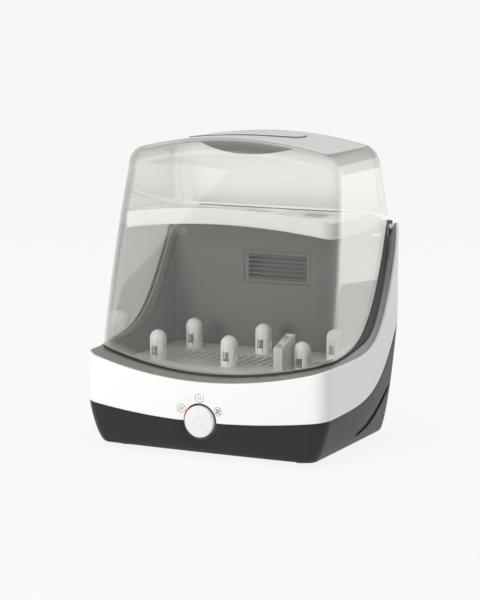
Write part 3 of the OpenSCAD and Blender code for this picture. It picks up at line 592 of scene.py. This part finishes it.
def start_symbol(w, place, tint):
    across, up, r = from_dial(w, place)
    aside = w.math("ABSOLUTE", across)
    ring = r.between(0.0042, 0.0045) * (1 - r.between(0.0051, 0.0054))
    gap = (1 - aside.between(0.0012, 0.0015)) * up.between(0, 0.0004)
    bar = (1 - aside.between(0.0003, 0.0006)) * up.between(0.0014, 0.0017)
    bar = bar * (1 - up.between(0.0055, 0.0058))
    return (0.8 * w.math("MAXIMUM", ring * (1 - gap), bar)).blend(tint, shade(214, 214, 214))


knob_white = moulded("knob_white", shade(238, 238, 237), 0.3, 0.5, 0.003, 0.012, 0.2, start_symbol)
profile = [(3.0, -96.5), (15.6, -96.5), (16, -96.9)]
profile += [(13.8 + 2.2 * math.cos(a), -104.8 + 2.2 * (1 - math.sin(a)))
            for a in np.radians(range(0, 90, 9))]
profile += [(13.8 * f, -106 + 1.2 * f * f) for f in np.linspace(1, 0.0, 9)]
profile += [(0, -102.5), (3.0, -102.5), (3.0, -96.5)]
settle(blank("knob_cap", lathe(profile, 1, (0, DIAL_Z))), "dial", knob_white,
       ["dial_knob"], smooth=50)

lit, w = new_finish("red_light_sleeve")
place = w.node("ShaderNodeTexCoord", out="Object")
across, up, r = from_dial(w, place)
toward = (up * math.sin(math.radians(22)) - across * math.cos(math.radians(22))) / r
glow = toward.between(math.cos(math.radians(26)), math.cos(math.radians(18)))
w.node("ShaderNodeOutputMaterial", {}, {"Surface": w.node("ShaderNodeBsdfPrincipled", {}, {
    "Base Color": glow.blend(shade(70, 70, 66), shade(180, 40, 38)), "Roughness": 0.3,
    "Emission Color": glow.blend((0, 0, 0, 1), shade(170, 16, 16)), "Emission Strength": 0.4})})
dress(lit, "light_ring")
dress(black, "dial_bezel")
dress(nickel, "encoder_body", "encoder_shaft")
dress(dark_grey, "press_collar")

# ---------------------------------------------------------------- boards
# The control board behind the dial and the power board under the chamber: glass-fibre
# boards with green solder mask, fine copper tracks and tinned pads.
board, w = new_finish("green_board")
place = w.node("ShaderNodeTexCoord", out="Object")
tracks = w.node("ShaderNodeTexBrick", {"offset": 0.35}, {
    "Vector": place, "Color1": shade(30, 96, 62), "Color2": shade(38, 112, 72),
    "Mortar": shade(92, 140, 90), "Scale": 420.0, "Mortar Size": 0.03,
    "Brick Width": 1.6, "Row Height": 0.5})
pads = w.node("ShaderNodeTexVoronoi", {}, {"Vector": place, "Scale": 260.0})
pad = 1 - pads.between(0.12, 0.2)
w.node("ShaderNodeOutputMaterial", {}, {"Surface": w.node("ShaderNodeBsdfPrincipled", {}, {
    "Base Color": pad.blend(tracks, shade(190, 188, 180)), "Roughness": 0.42 - 0.12 * pad,
    "Metallic": 0.8 * pad})})
dress(board, "control_board", "power_board")

# ---------------------------------------------------------------- rim
# The taupe frame that closes the gap between the band and the chamber. It lands the
# hood's seal and stands up inside it as a lip. A satin moulding, clipped in.


HOOD_LOW = 100.5


def hood_plan(z):
    t = (z - HOOD_LOW) / 192
    return [126.6 - 11.3 * t + 10 * t * (1 - t), -76 + 34.7 * t,
            100 - 0.207 * np.maximum(0, z - 220.5), 14 + 8 * t, 25, 7]


CHAMBER_REAR = 84


def chamber_plan(z):
    plan = hood_plan(z)
    return [plan[0], plan[1], CHAMBER_REAR, plan[3], 15, plan[5]]


def hood_edge(q):
    return np.minimum(swept(80.5, 0.00115, 25, 2.25, 23, q), 225.5)


SEAL_LEAST = 1.2


def seal_deep(y):
    """How far the hood's seal hangs down: little in front, far at the sides, none at the rear."""
    fade = np.clip((CHAMBER_REAR - y) / 4, 0, 1)
    return SEAL_LEAST + 26 * fade / (1 + np.exp((14 - y) / 13))


SHELF = 193.5
SEAL_ROOM, SEAL_GAP = 1.06, 0.9


def ledge_edge(q):
    return np.minimum(hood_edge(q) - SEAL_ROOM * seal_deep(q[:, 1]) - SEAL_GAP, SHELF)


ledge_height = ledge_edge(outline(chamber_plan(ledge_edge(outline(chamber_plan(HOOD_LOW))))))


def ledge_ring(d, drop):
    return at_height(outline(inset(chamber_plan(ledge_height), d)), ledge_height - drop)


RIM_THICK = 1.8
RIM_START = 2.6
LIP_IN = 3.4
rim_z = rim_edge(base_line) - 0.2
fall = at_height(outline(inset(base_plan, RIM_START)), rim_z) - ledge_ring(-1, 0)
slope = fall[:, 2] / np.linalg.norm(fall, axis=1)
level = np.sqrt(1 - slope ** 2)
lip_z = np.minimum(hood_edge(outline(chamber_plan(ledge_height))) + 1, SHELF + 8)


def rim_rings(front, under):
    start = at_height(outline(inset(base_plan, RIM_START + front * np.maximum(0, slope)
                                    + under * np.maximum(0, -slope))), rim_z - under * level)
    landing = ledge_ring(-1 - under * slope / (1 + level), under)
    ledge = ledge_ring(LIP_IN + under, under)
    lip = at_height(outline(inset(chamber_plan(lip_z), LIP_IN + under)), lip_z)
    return ([mix(start, landing, s) for s in np.linspace(0, 1, 6)] + [mix(landing, ledge, 0.5), ledge]
            + [mix(ledge, lip, s) for s in (0.5, 1.0)])


taupe = moulded("taupe_rim", shade(141, 140, 134), 0.26, 0.6, 0.008, 0.03, 0.2)
rim = blank("rim_frame", sheet(rim_rings(RIM_THICK, 0), rim_rings(0, RIM_THICK)))
settle(rim, "base", taupe, ["rim_trim"], [
    prism(box(108.5, 119.5, 87, 98), 2, 163, 224), prism(box(-119.5, -108.5, 87, 98), 2, 163, 224)], 0.3)

# ---------------------------------------------------------------- chamber liner
# The dark grey tub inside the base: heat-proof plastic with a soft radius into its floor,
# a round well for the boiler, and a rear panel that the tray hooks on.
LINER_IN = LIP_IN + RIM_THICK + 0.4
PANEL_Y = CHAMBER_REAR - LINER_IN - WALL + 0.1
PANEL_TOP = 226
PANEL_HALF = 106
PANEL_THICK = 2.3


def level_ring(d, z):
    return at_height(outline(inset(chamber_plan(HOOD_LOW), d)), z)


SOLID_STEPS = np.array([7, 6, 16, 6, 5])
SOLID_START = np.cumsum(SOLID_STEPS) - SOLID_STEPS
turn = (SOLID_START[run] + way * SOLID_STEPS[run]) * math.pi / SOLID_STEPS.sum()
turn = np.where(hand > 0, turn, 2 * math.pi - turn)


def well_ring(z):
    return at_height(np.column_stack([64 * np.sin(turn), -64 * np.cos(turn)]), z)


def liner_rings(d, floor, low):
    wall_low = level_ring(d + 1, 65)
    rings = [mix(ledge_ring(d, RIM_THICK), wall_low, s) for s in np.linspace(0, 1, 9)]
    rings += [level_ring(d + 1 + 5 * (1 - math.cos(a)), 65 - (65 - floor) * math.sin(a))
              for a in np.radians([18, 36, 54, 72, 90])]
    return rings + [mix(rings[-1], well_ring(low), s) for s in (0.5, 1.0)]


liner = blank("chamber_tub", sheet(liner_rings(LINER_IN + WALL, 53, 52),
                                   liner_rings(LINER_IN, 50.5, 49.5)))
settle(liner, "base", dark_grey, ["chamber_liner"],
       [prism(box(-38, 38, 148, 182), 1, 64, 94)], 0.3)
corner = [(x * (PANEL_HALF - 5 + 5 * math.cos(a)), PANEL_TOP - 5 + 5 * math.sin(a))
          for x, turns in ((1, range(0, 91, 15)), (-1, range(90, -1, -15))) for a in np.radians(turns)]
panel = blank("rear_panel", prism(corner + [(-PANEL_HALF, SHELF - 6), (PANEL_HALF, SHELF - 6)],
                                  1, PANEL_Y, PANEL_Y + PANEL_THICK))
settle(panel, "base", dark_grey, edge=0.5)

# ---------------------------------------------------------------- blower and warm-air path
# A small radial fan behind the rear wall draws through the filter and blows past a
# heater into the chamber, out of a louvred grille. Dark grey mouldings.


def bar_row(name, finish, count, step, start, length, width, thick, along, tilt):
    """A row of like bars: a rounded bar drawn along one axis, set out at even steps."""
    tree = bpy.data.node_groups.new(name + "_row", "GeometryNodeTree")
    sizes = {"Count": ("NodeSocketInt", count), "Step": ("NodeSocketVector", step),
             "Start": ("NodeSocketVector", start), "Length": ("NodeSocketFloat", length),
             "Width": ("NodeSocketFloat", width), "Thickness": ("NodeSocketFloat", thick)}
    keys = {}
    for label, (kind, _) in sizes.items():
        keys[label] = tree.interface.new_socket(label, in_out="INPUT", socket_type=kind).identifier
    tree.interface.new_socket("Geometry", in_out="OUTPUT", socket_type="NodeSocketGeometry")
    w = Wire(tree)
    given = tree.nodes.new("NodeGroupInput")
    size = {label: Wire(tree, given.outputs[label]) for label in sizes}
    end = w.node("ShaderNodeCombineXYZ", {}, {0: size["Length"]})
    path = w.node("GeometryNodeCurvePrimitiveLine", {"mode": "POINTS"}, {"Start": (0, 0, 0), "End": end})
    section = w.node("GeometryNodeCurvePrimitiveQuadrilateral", {"mode": "RECTANGLE"}, {
        "Width": size["Width"], "Height": size["Thickness"]})
    section = w.node("GeometryNodeFilletCurve", {"mode": "POLY"}, {
        "Curve": section, "Count": 3, "Radius": size["Thickness"] * 0.35})
    bar = w.node("GeometryNodeCurveToMesh", {}, {
        "Curve": path, "Profile Curve": section, "Fill Caps": True})
    row = w.node("GeometryNodeMeshLine", {"mode": "OFFSET"}, {
        "Count": size["Count"], "Start Location": size["Start"], "Offset": size["Step"]})
    face = Matrix.Rotation(math.radians(tilt), 3, along) @ along_axis(along)
    placed = w.node("GeometryNodeInstanceOnPoints", {}, {
        "Points": row, "Instance": bar, "Rotation": face.to_euler()})
    placed = w.node("GeometryNodeRealizeInstances", {}, {"Geometry": placed})
    placed = w.node("GeometryNodeSetMaterial", {}, {"Geometry": placed, "Material": finish})
    w.node("NodeGroupOutput", {}, {0: placed})
    made = bpy.data.objects.new(name, bpy.data.meshes.new(name))
    scene.collection.objects.link(made)
    modifier = made.modifiers.new("row", "NODES")
    modifier.node_group = tree
    for label, (_, value) in sizes.items():
        modifier[keys[label]] = value
    baked(made)
    return made


def along_axis(along):
    """Turns a bar that is drawn along X to lie along X or along Y."""
    return Matrix.Identity(3) if along == "X" else Matrix.Rotation(math.radians(90), 3, "Z")


def spot(x, y, z):
    return (x * MM, (y + SET_BACK) * MM, z * MM)


frame_out, frame_in = box(-37.8, 37.8, 148.2, 181.8), box(-33, 33, 152, 178)
grille_frame = blank("air_grille_frame", prism(frame_out, 1, PANEL_Y + 0.2, 79))
settle(grille_frame, "base", dark_grey, ["air_grille"],
       [prism(frame_in, 1, 60, 90)], 0.4)
louvres = bar_row("air_grille_louvres", dark_grey, 6, (0, 0, 4.6 * MM), spot(-34, 77.6, 153.4),
                  68 * MM, 2.2 * MM, 1.1 * MM, "X", 35)
settle(louvres, "base", dark_grey)
dress(dark_grey, "fan_housing", "air_duct")
dress(black, "fan_impeller")
dress(nickel, "fan_motor", "fan_shaft", "air_heater")

# ---------------------------------------------------------------- filter
# A louvred charcoal cover in the rear wall pulls straight out and holds a pad of white
# non-woven cloth.
LEAN = math.radians(4.1)
FILTER_Z = 94


def on_rear(x, up, deep):
    """A spot on the leaning rear wall: across, up the slope, and in from the face."""
    return spot(x, 100.8 + up * math.sin(LEAN) - deep * math.cos(LEAN),
                FILTER_Z + up * math.cos(LEAN) + deep * math.sin(LEAN))


def leaning(shape):
    points, faces = shape
    x, deep, up = points.T
    return np.column_stack([x, 100.8 + up * math.sin(LEAN) - deep * math.cos(LEAN),
                            FILTER_Z + up * math.cos(LEAN) + deep * math.sin(LEAN)]), faces


cover = blank("filter_cover_frame", leaning(prism(box(-35.5, 35.5, -27.4, 27.4), 1, 0, 2.2)))
settle(cover, "filter", charcoal, ["filter_cover"],
       [leaning(prism(box(-27, 27, -23.2, 23.2), 1, -5, 6))], 0.4)
slats = bar_row("filter_cover_slats", charcoal, 9,
                tuple(Vector(on_rear(0, 5, 0)) - Vector(on_rear(0, 0, 0))), on_rear(-28, -20, 1.1),
                56 * MM, 3.0 * MM, 1.1 * MM, "X", 40)
settle(slats, "filter", charcoal)

cloth, w = new_finish("filter_cloth")
place = w.node("ShaderNodeTexCoord", out="Object")
fibre = w.node("ShaderNodeTexNoise", {}, {
    "Vector": place, "Scale": 1400.0, "Detail": 4.0, "Distortion": 1.5})
w.node("ShaderNodeOutputMaterial", {}, {"Surface": w.node("ShaderNodeBsdfPrincipled", {}, {
    "Base Color": fibre.blend(shade(206, 206, 202), shade(240, 240, 238)), "Roughness": 0.9,
    "Normal": w.node("ShaderNodeBump", {}, {"Height": fibre, "Strength": 0.8, "Distance": 0.0001})})})
dress(cloth, "air_filter")

# ---------------------------------------------------------------- hinge
# Taupe brackets stand in the rear corners of the base and cap its arms, and steel pins
# carry the hood's barrel in grey acetal bushes.
dress(taupe, "hinge_brackets")
dress(steel, "hinge_pins")
dress(dark_grey, "hinge_bushes")

# ---------------------------------------------------------------- clear hood
# The front and sides of the hood: smoke-tinted clear polycarbonate, 2.5 mm thick and
# polished, with a large radius along its shoulder. Bonded to the white cap.
ROOF = 308.3


def roof(x):
    return ROOF - 417 + np.sqrt(417.0 ** 2 - x ** 2)


hood_foot = hood_edge(outline(hood_plan(hood_edge(outline(hood_plan(HOOD_LOW))))))
shoulder_z = roof(outline(hood_plan(ROOF - 20))[:, 0]) - 20


def hood_wall_ring(s, d):
    z = mix(hood_foot, shoulder_z, s)
    return at_height(outline(inset(hood_plan(z), d)), z)


def shoulder_ring(a, d):
    q = outline(inset(hood_plan(shoulder_z), d + (13 - d) * (1 - math.cos(a))))
    return at_height(q, roof(q[:, 0]) - d - (20 - d) * (1 - math.sin(a)))


def leaf(s):
    """The vent's outline in the roof, pointed at the left and blunt at the right."""
    c, aside = np.cos(turn), np.sin(turn)
    x = (60 - s) * aside
    w = np.abs(c) ** np.where(aside < 0, 2, 0.6)
    return np.column_stack([x - 12, 26 + 0.17 * x - (27 - s) * w * np.sign(c)])


def roof_ring(s, d):
    q = mix(outline(inset(hood_plan(shoulder_z), 15)), leaf(0), s)
    return at_height(q, roof(q[:, 0]) - d)


WALL_ROWS, SHOULDER_ROWS, ROOF_ROWS = 20, 9, 8


def hood_grid(d):
    rings = [hood_wall_ring(s, d) for s in np.linspace(0, 1, WALL_ROWS)]
    rings += [shoulder_ring(a, d) for a in np.linspace(0, math.pi / 2, SHOULDER_ROWS + 1)[1:]]
    return rings + [roof_ring(s, d) for s in np.linspace(0, 1, ROOF_ROWS)]


SEAL_END = sum(PLAN_STEPS[:3])
CORNER_CLEAR = 8


def in_front(end):
    """Cells round the front, as far as a step on each side."""
    return (np.arange(AROUND) < end) | (np.arange(AROUND) >= AROUND - end)


clear_rows = WALL_ROWS + SHOULDER_ROWS
cells = np.zeros((clear_rows + ROOF_ROWS - 1, AROUND), bool)
cells[:clear_rows] = in_front(SEAL_END + CORNER_CLEAR)
hood_outer, hood_inner = hood_grid(0), hood_grid(WALL)

clear, w = new_finish("clear_smoke")
facing = w.node("ShaderNodeLayerWeight", {}, {"Blend": 0.5}, "Facing")
place = w.node("ShaderNodeTexCoord", out="Object")
haze = w.node("ShaderNodeTexNoise", {}, {"Vector": place, "Scale": 9.0, "Detail": 2.0})
gloss = w.node("ShaderNodeBsdfPrincipled", {}, {
    "Base Color": shade(232, 233, 228), "Roughness": 0.02 + 0.02 * haze, "Metallic": 0.9})
through = w.node("ShaderNodeBsdfTransparent", {}, {"Color": (0.965, 0.965, 0.96, 1)})
veil = w.math("MINIMUM", 0.06 + 0.95 * facing ** 1.5, 0.92)
w.node("ShaderNodeOutputMaterial", {}, {
    "Surface": w.node("ShaderNodeMixShader", {}, {0: veil, 1: through, 2: gloss})})
shell = settle(blank("hood_clear", sheet(hood_outer, hood_inner, cells)), "hood", clear,
               ["hood_shell"], edge=0.25)
shell.visible_shadow = False

# ---------------------------------------------------------------- hood cap
# The white roof and back of the hood, one ABS moulding with the hinge barrel along its
# rear foot. The clear front is bonded into its edge.
cap = blank("hood_cap_skin", sheet(hood_outer, hood_inner, ~cells),
            prism(circle(93, 213.5, 9, 64), 0, -108, 108),
            prism([(93, 213.5), (101.8, 213.5), (97.8, 229), (96, 229)], 0, -88, 88))
settle(cap, "hood", white, ["hood_cap"], edge=0.35)

# ---------------------------------------------------------------- hood seal
# A black silicone lip along the hood's foot, a thin line at the front and a wide skirt
# along the sides where the rim sweeps up. Pressed on the edge of the clear wall.


def seal_ring(d, low):
    y = outline(inset(hood_plan(hood_foot), d))[:, 1]
    z = hood_foot - low * seal_deep(y)
    return np.column_stack([outline(inset(hood_plan(z), d))[:, 0], y, z])


lip = np.linspace(1, 0, 6)
seal = blank("hood_lip", sheet([seal_ring(-0.3, s) for s in lip], [seal_ring(2.8, s) for s in lip],
                               np.tile(in_front(SEAL_END), (len(lip) - 1, 1))))
settle(seal, "hood", rubber, ["hood_seal"], edge=0.3)

# ---------------------------------------------------------------- steam vent
# The leaf-shaped steam outlet in the roof: a white lid on a dark neck, so that a fine gap
# runs round under it, and a dark lens-shaped steam box clipped under the roof.


def leaf_stack(steps):
    """A solid over the leaf from steps of inset, scale and height over the roof."""
    rings = []
    for s, scale, rise in steps:
        edge_line = leaf(s)
        middle = edge_line.mean(axis=0)
        q = middle + scale * (edge_line - middle)
        rings.append(at_height(q, roof(q[:, 0]) + rise))
    faces = [(k * AROUND + i, k * AROUND + (i + 1) % AROUND, (k + 1) * AROUND + (i + 1) % AROUND,
              (k + 1) * AROUND + i) for k in range(len(rings) - 1) for i in range(AROUND)]
    return np.concatenate(rings), faces


across = np.linspace(0, 1, 6)
lid = [(0.4, s, 0.7) for s in across] + [(0.4, 1, 1.0), (0.4, 0.99, 1.15)]
lid += [(0.4, s, 1.2) for s in 0.96 * across[::-1]]
settle(blank("vent_leaf", leaf_stack(lid)), "hood", white, ["vent_cap"])
steam_box = moulded("steam_box_grey", shade(78, 78, 77), 0.4, 0.8, 0.012, 0.06)
neck = [(1.0, s, -2.5) for s in across] + [(1.0, s, 0.7) for s in across[::-1]]
settle(blank("vent_neck", leaf_stack(neck)), "hood", steam_box)
dress(steam_box, "vent_housing")

# ---------------------------------------------------------------- upper tray
# The white tray for small parts: a floor with six openings in a skirt that arches up at
# the front, and a hook along its rear that hangs on the liner's panel. One moulding.
TRAY_REAR = PANEL_Y - 0.5
tray_plan = [115, -46, TRAY_REAR, 12, 18, 6]
tray_line = outline(tray_plan)
tray_lift = 10 * (1 - (tray_line[:, 0] / 115) ** 2) * np.clip(tray_line[:, 1] / -46, 0, 1)


def tray_ring(d, z):
    return at_height(outline(inset(tray_plan, d)), z + tray_lift)


tray_white = moulded("tray_white", shade(251, 251, 250), 0.34, 0.6, 0.006, 0.015)
skirt_z = np.linspace(214, 230, 7)
hook_z, hook_y = PANEL_TOP + 0.3, PANEL_Y + PANEL_THICK + 0.5
skirt = blank("tray_skirt",
              sheet([tray_ring(0, z) for z in skirt_z], [tray_ring(2.2, z) for z in skirt_z]),
              prism([(TRAY_REAR - 2.2, hook_z), (hook_y, hook_z), (hook_y, hook_z - 10),
                     (hook_y + 2, hook_z - 10), (hook_y + 2, hook_z + 2), (TRAY_REAR - 2.2, hook_z + 2)],
                    0, -90, 90))
settle(skirt, "tray", tray_white, ["upper_tray"], edge=0.6)
tray_floor = blank("tray_floor", prism(outline(inset(tray_plan, 1)), 2, 224.5, 227))
settle(tray_floor, "tray", tray_white, (), [
    prism(circle(x, y, 24, 72), 2, 220, 232) for x in (-70, 0, 70) for y in (-14, 47)], 0.5)

# ---------------------------------------------------------------- lower rack
# The rack that stands over the boiler: a pale beige plate on four legs, with a field of
# bars that lets the steam through. One moulding.
RACK = 80.5
pale = moulded("pale_rack", shade(214, 212, 204), 0.4, 0.7, 0.01, 0.03)
rack_line = outline(inset(chamber_plan(HOOD_LOW), 10.4))
rack = blank("rack_plate", prism(rack_line, 2, RACK - 3, RACK))
settle(rack, "rack", pale, ["lower_rack"],
       [prism(box(-91.5, 91.5, -20, 26), 2, 70, 90)], 0.5)
legs = blank("rack_legs", *[prism(circle(x, y, 4, 32), 2, 53.5, RACK - 1)
                            for x in (-96, 96) for y in (-48, 52)])
settle(legs, "rack", pale, edge=0.4)
bars = bar_row("rack_bars", pale, 20, (9 * MM, 0, 0), spot(-85.5, -21, RACK - 1.5),
               48 * MM, 6 * MM, 3 * MM, "Y", 0)
settle(bars, "rack", pale)

# ---------------------------------------------------------------- pegs
# Six hollow white pegs with round heads clip into the rack, each with two windows
# through it near the foot for steam.
for n in range(6):
    x, y = 80 * (n % 3 - 1), -37 + 80 * (n // 3)
    a = np.radians(np.arange(0, 91, 9))
    outside = [(8.5, RACK)] + [(8.5 * math.cos(b), RACK + 22.5 + 8.5 * math.sin(b)) for b in a]
    inside = [(6.7 * math.cos(b), RACK + 22.5 + 6.7 * math.sin(b)) for b in a[::-1]] + [(6.7, RACK)]
    turned = lathe(outside + inside + outside[:1], 2, (x, y), 48)
    settle(blank(f"peg_{n + 1}_skin", turned), "rack", tray_white, [f"peg_{n + 1}"], [
        prism(box(x - 3, x + 3, RACK + 6, RACK + 15), 1, y - 20, y + 20),
        prism(box(y - 3, y + 3, RACK + 6, RACK + 15), 0, x - 20, x + 20)], 0.35)

# ---------------------------------------------------------------- small parts holder
# A pale wedge that stands loose on the rack, with two sockets in its sloping top. One
# moulding in the rack's plastic.
holder_side = [(-63, 80.8), (-32, 80.8), (-32, 117.8), (-63, 107.8)]
holder = blank("holder_wedge", prism(holder_side, 0, 60.6, 70.6))
settle(holder, "holder", pale, ["parts_holder"], [
    prism(circle(65.6, y, 3.4, 40), 2, 94.8, 125) for y in (-56, -39)], 0.6)
